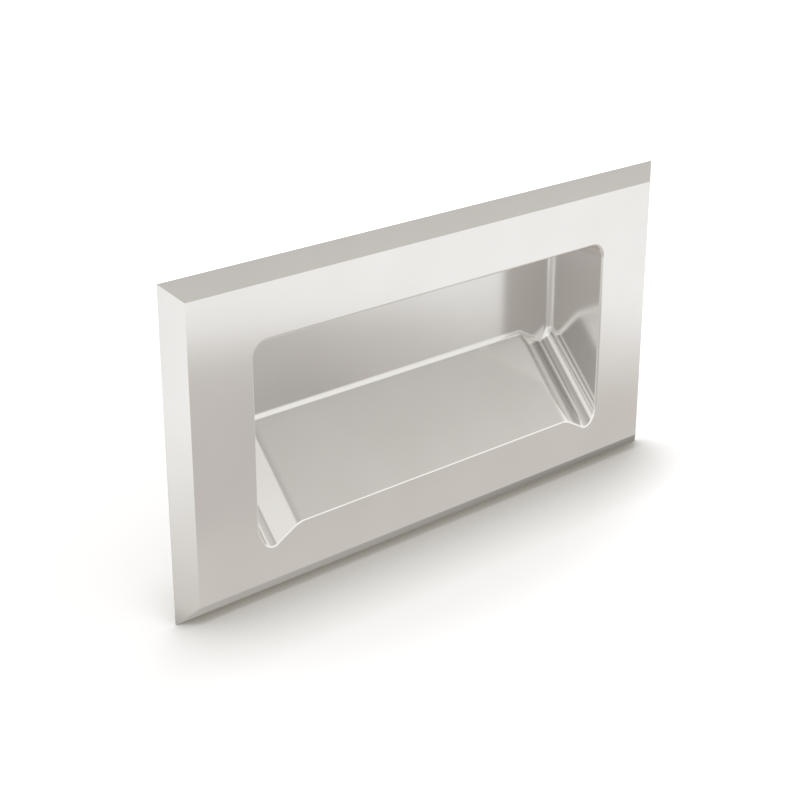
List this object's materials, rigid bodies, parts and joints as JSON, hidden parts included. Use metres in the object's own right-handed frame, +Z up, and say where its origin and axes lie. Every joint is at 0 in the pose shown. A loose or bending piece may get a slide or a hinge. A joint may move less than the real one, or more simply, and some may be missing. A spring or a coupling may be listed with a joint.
{
  "type": "recessed handle",
  "caption": "Flush rectangular pull with a bevelled plate and a finger recess whose sloping floor runs between gutters up to the back wall.",
  "frame": {"origin": "middle of the plate's rear face, which seats on the door", "axes": "+X to the right as seen from the front, +Y into the door, +Z up"},
  "size_m": [0.12, 0.016, 0.062],
  "materials": {
    "satin_steel": "satin"
  },
  "bodies": {
    "root": {"handle_body": "satin_steel"}
  },
  "joints": []
}
